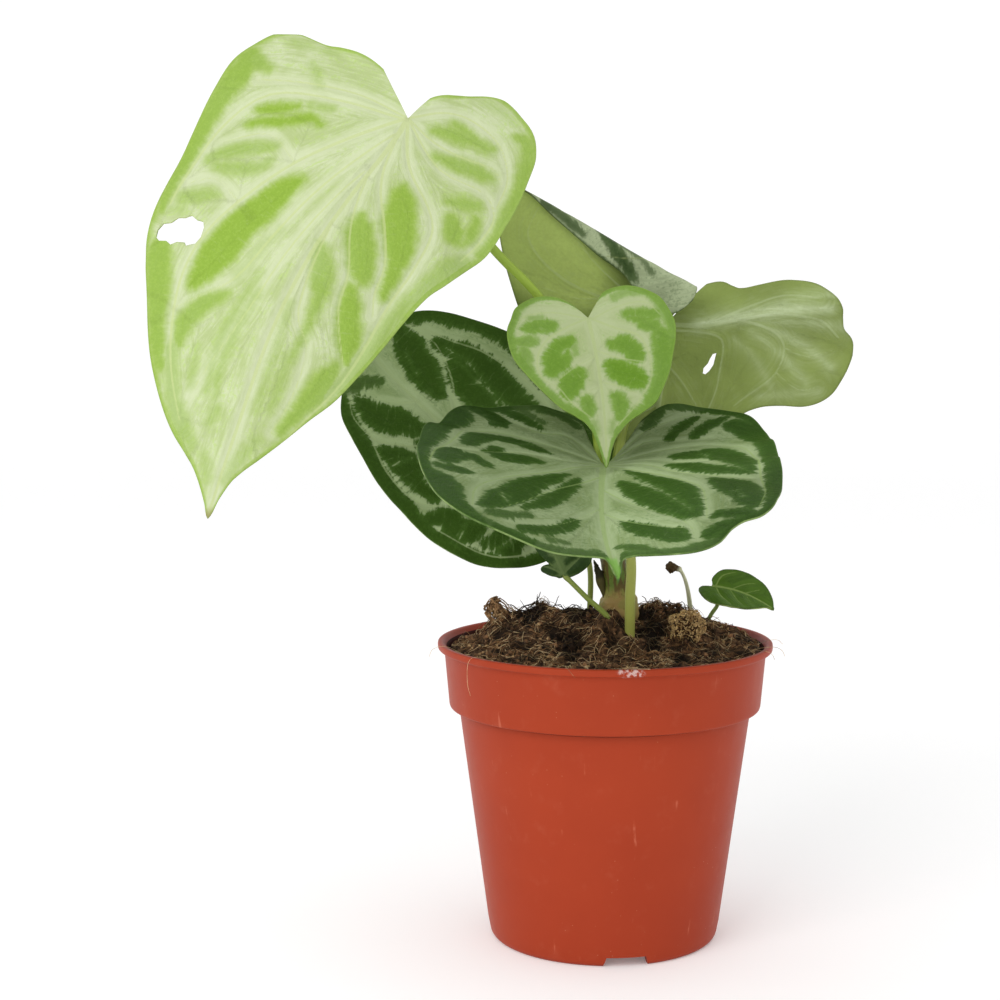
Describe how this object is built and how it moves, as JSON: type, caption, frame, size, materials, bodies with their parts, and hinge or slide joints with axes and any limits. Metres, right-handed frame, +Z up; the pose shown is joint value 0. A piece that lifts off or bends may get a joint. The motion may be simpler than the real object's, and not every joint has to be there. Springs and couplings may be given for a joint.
{
  "type": "potted anthurium",
  "caption": "small anthurium with heart-shaped, silver-veined leaves on thin stalks, rooted in peat soil in a round tapered terracotta-coloured plastic nursery pot",
  "frame": {"origin": "middle of the whole plant's bounding box in plan, at the height of the pot's foot, which is the surface that it stands on", "axes": "+Z up along the pot's axis, which is the longest extent; the camera of the picture looks along +Y; +X is to its right"},
  "size_m": [0.253, 0.1783, 0.3221],
  "materials": {
    "pot": "satin moulded plastic, orange-red outside, a little darker inside",
    "soil": null,
    "stem": null,
    "stalk": null,
    "sheath": "dry papery leaf sheath, dark brown, matte",
    "sprout": "withered pale sprout with a brown tip, matte",
    "leaf_top": "young yellow-green blade with paler veins, soft sheen",
    "leaf_small": "young green blade with silvery veins, soft sheen",
    "leaf_left": "dark green blade with silver vein bands, velvety sheen",
    "leaf_front": "dark green blade with silver vein bands, velvety sheen",
    "leaf_back": "old olive-green blade that shows its dull underside, partly folded over",
    "leaf_low": "small dark green blade",
    "leaf_seedling": "small plain green blade with a pale midrib"
  },
  "bodies": {
    "root": {"pot": "pot", "soil": "soil", "main_stem": "stem", "withered_sprout": "sprout", "dry_sheath": "sheath", "leaf_top": "leaf_top", "leaf_left": "leaf_left", "leaf_small": "leaf_small", "leaf_front": "leaf_front", "leaf_back": "leaf_back", "leaf_low": "leaf_low", "leaf_seedling": "leaf_seedling", "stalk_top": "stalk", "stalk_small": "stalk", "stalk_back": "stalk", "stalk_front": "stalk", "stalk_left": "stalk", "stalk_low": "stalk", "stalk_seedling": "stalk"}
  },
  "joints": []
}
